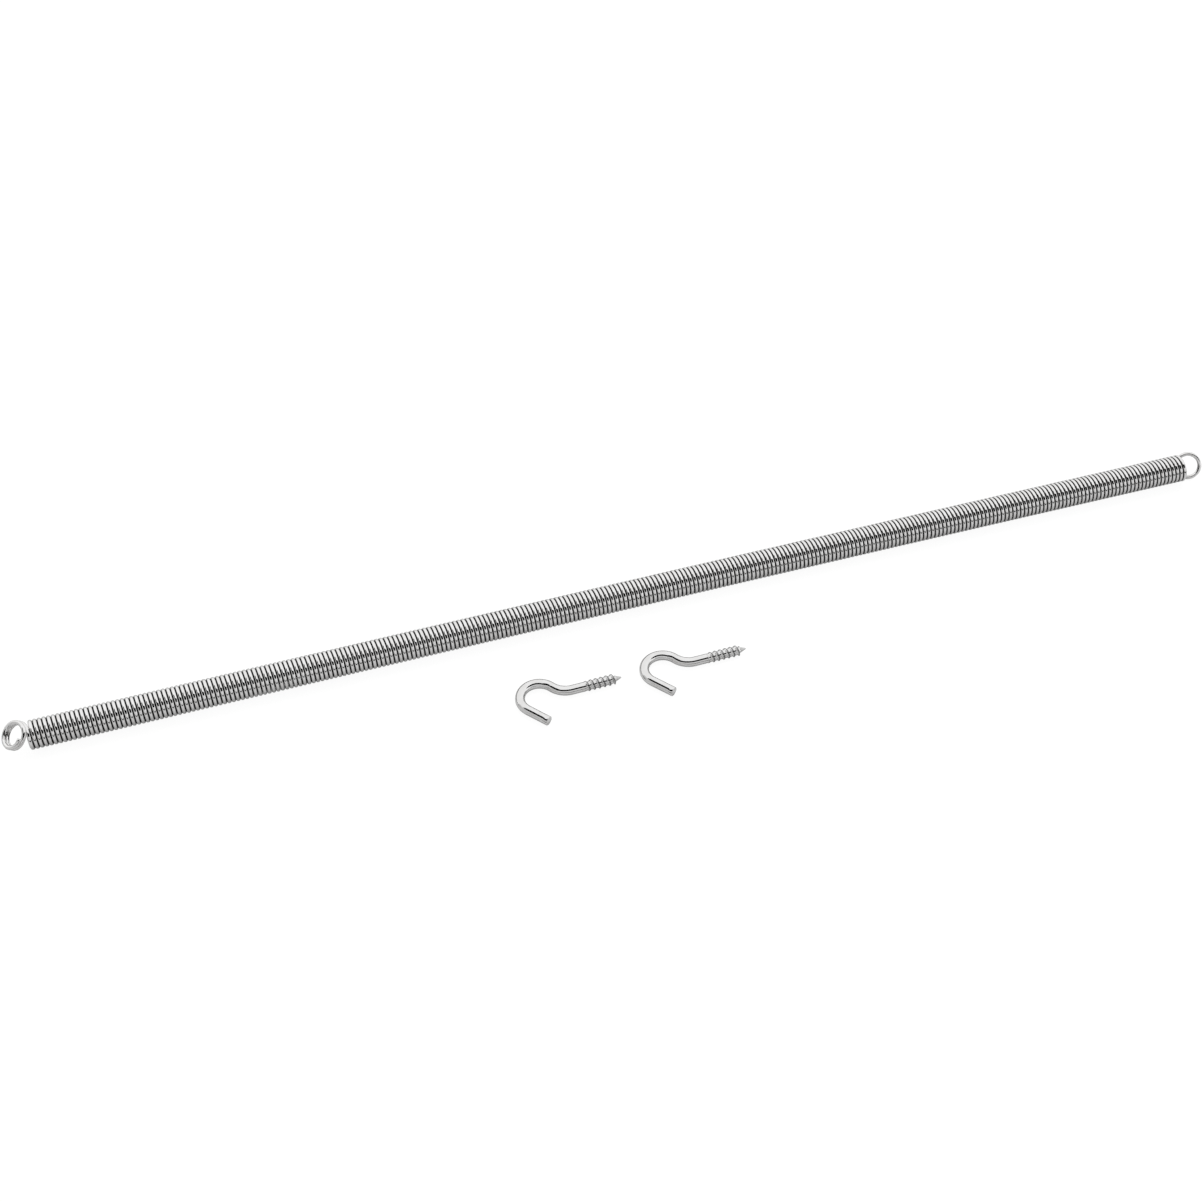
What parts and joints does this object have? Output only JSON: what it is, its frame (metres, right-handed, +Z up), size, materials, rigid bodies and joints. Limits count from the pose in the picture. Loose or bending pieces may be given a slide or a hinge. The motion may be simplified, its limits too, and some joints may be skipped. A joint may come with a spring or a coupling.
{
  "type": "gate spring closer",
  "caption": "Long close-wound steel extension spring with a bent eye at each end, which pulls a gate shut, and two open screw hooks that hold its ends.",
  "frame": {"origin": "on the surface that the part lies on, below the middle of the box round the spring and its hooks", "axes": "+X along the spring to its far eye, +Y from the hooks to the spring, +Z up"},
  "size_m": [0.4966, 0.0566, 0.013],
  "materials": {
    "spring_wire": "bright zinc plated spring wire",
    "hook_wire": "bright zinc plated mild steel"
  },
  "bodies": {
    "spring_near_end": {"coil": "spring_wire", "near_eye": "spring_wire"},
    "spring_far_end": {"far_eye": "spring_wire"},
    "left_hook": {"left_screw_hook": "hook_wire"},
    "right_hook": {"right_screw_hook": "hook_wire"}
  },
  "joints": [
    {"name": "spring_stretch", "type": "slide", "parent": "spring_near_end", "child": "spring_far_end", "axis": [1, 0, 0], "range_m": [0, 0.2], "stiffness_N_per_m": 340, "deforming": ["coil"]},
    {"name": "left_hook_lift", "type": "slide", "parent": "spring_near_end", "child": "left_hook", "axis": [0, 0, 1], "range_m": [0, 0.06]},
    {"name": "right_hook_lift", "type": "slide", "parent": "spring_near_end", "child": "right_hook", "axis": [0, 0, 1], "range_m": [0, 0.06]}
  ]
}
